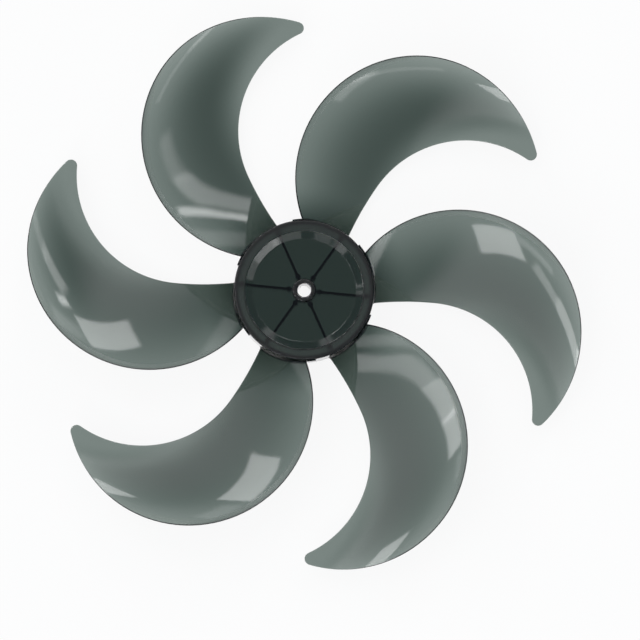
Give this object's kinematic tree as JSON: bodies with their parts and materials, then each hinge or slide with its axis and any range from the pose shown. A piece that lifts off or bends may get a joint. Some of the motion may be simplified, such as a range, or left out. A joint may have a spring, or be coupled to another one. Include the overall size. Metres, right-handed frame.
{
  "type": "fan blade",
  "caption": "Moulded axial fan blade wheel in clear smoked plastic: swept crescent blades around a dished hub with a shaft bore and a drive-pin slot.",
  "frame": {"origin": "on the shaft's axis, in the plane of the hub skirt's rear rim, on which the wheel lies", "axes": "+Z along the shaft's axis towards the front of the wheel, where the nut goes on; +X and +Y are the picture's right and up"},
  "size_m": [0.333, 0.3338, 0.0346],
  "materials": {
    "smoked_plastic": "clear smoked grey-green styrene plastic, glossy as moulded"
  },
  "bodies": {
    "root": {"fan_blade": "smoked_plastic"}
  },
  "joints": []
}
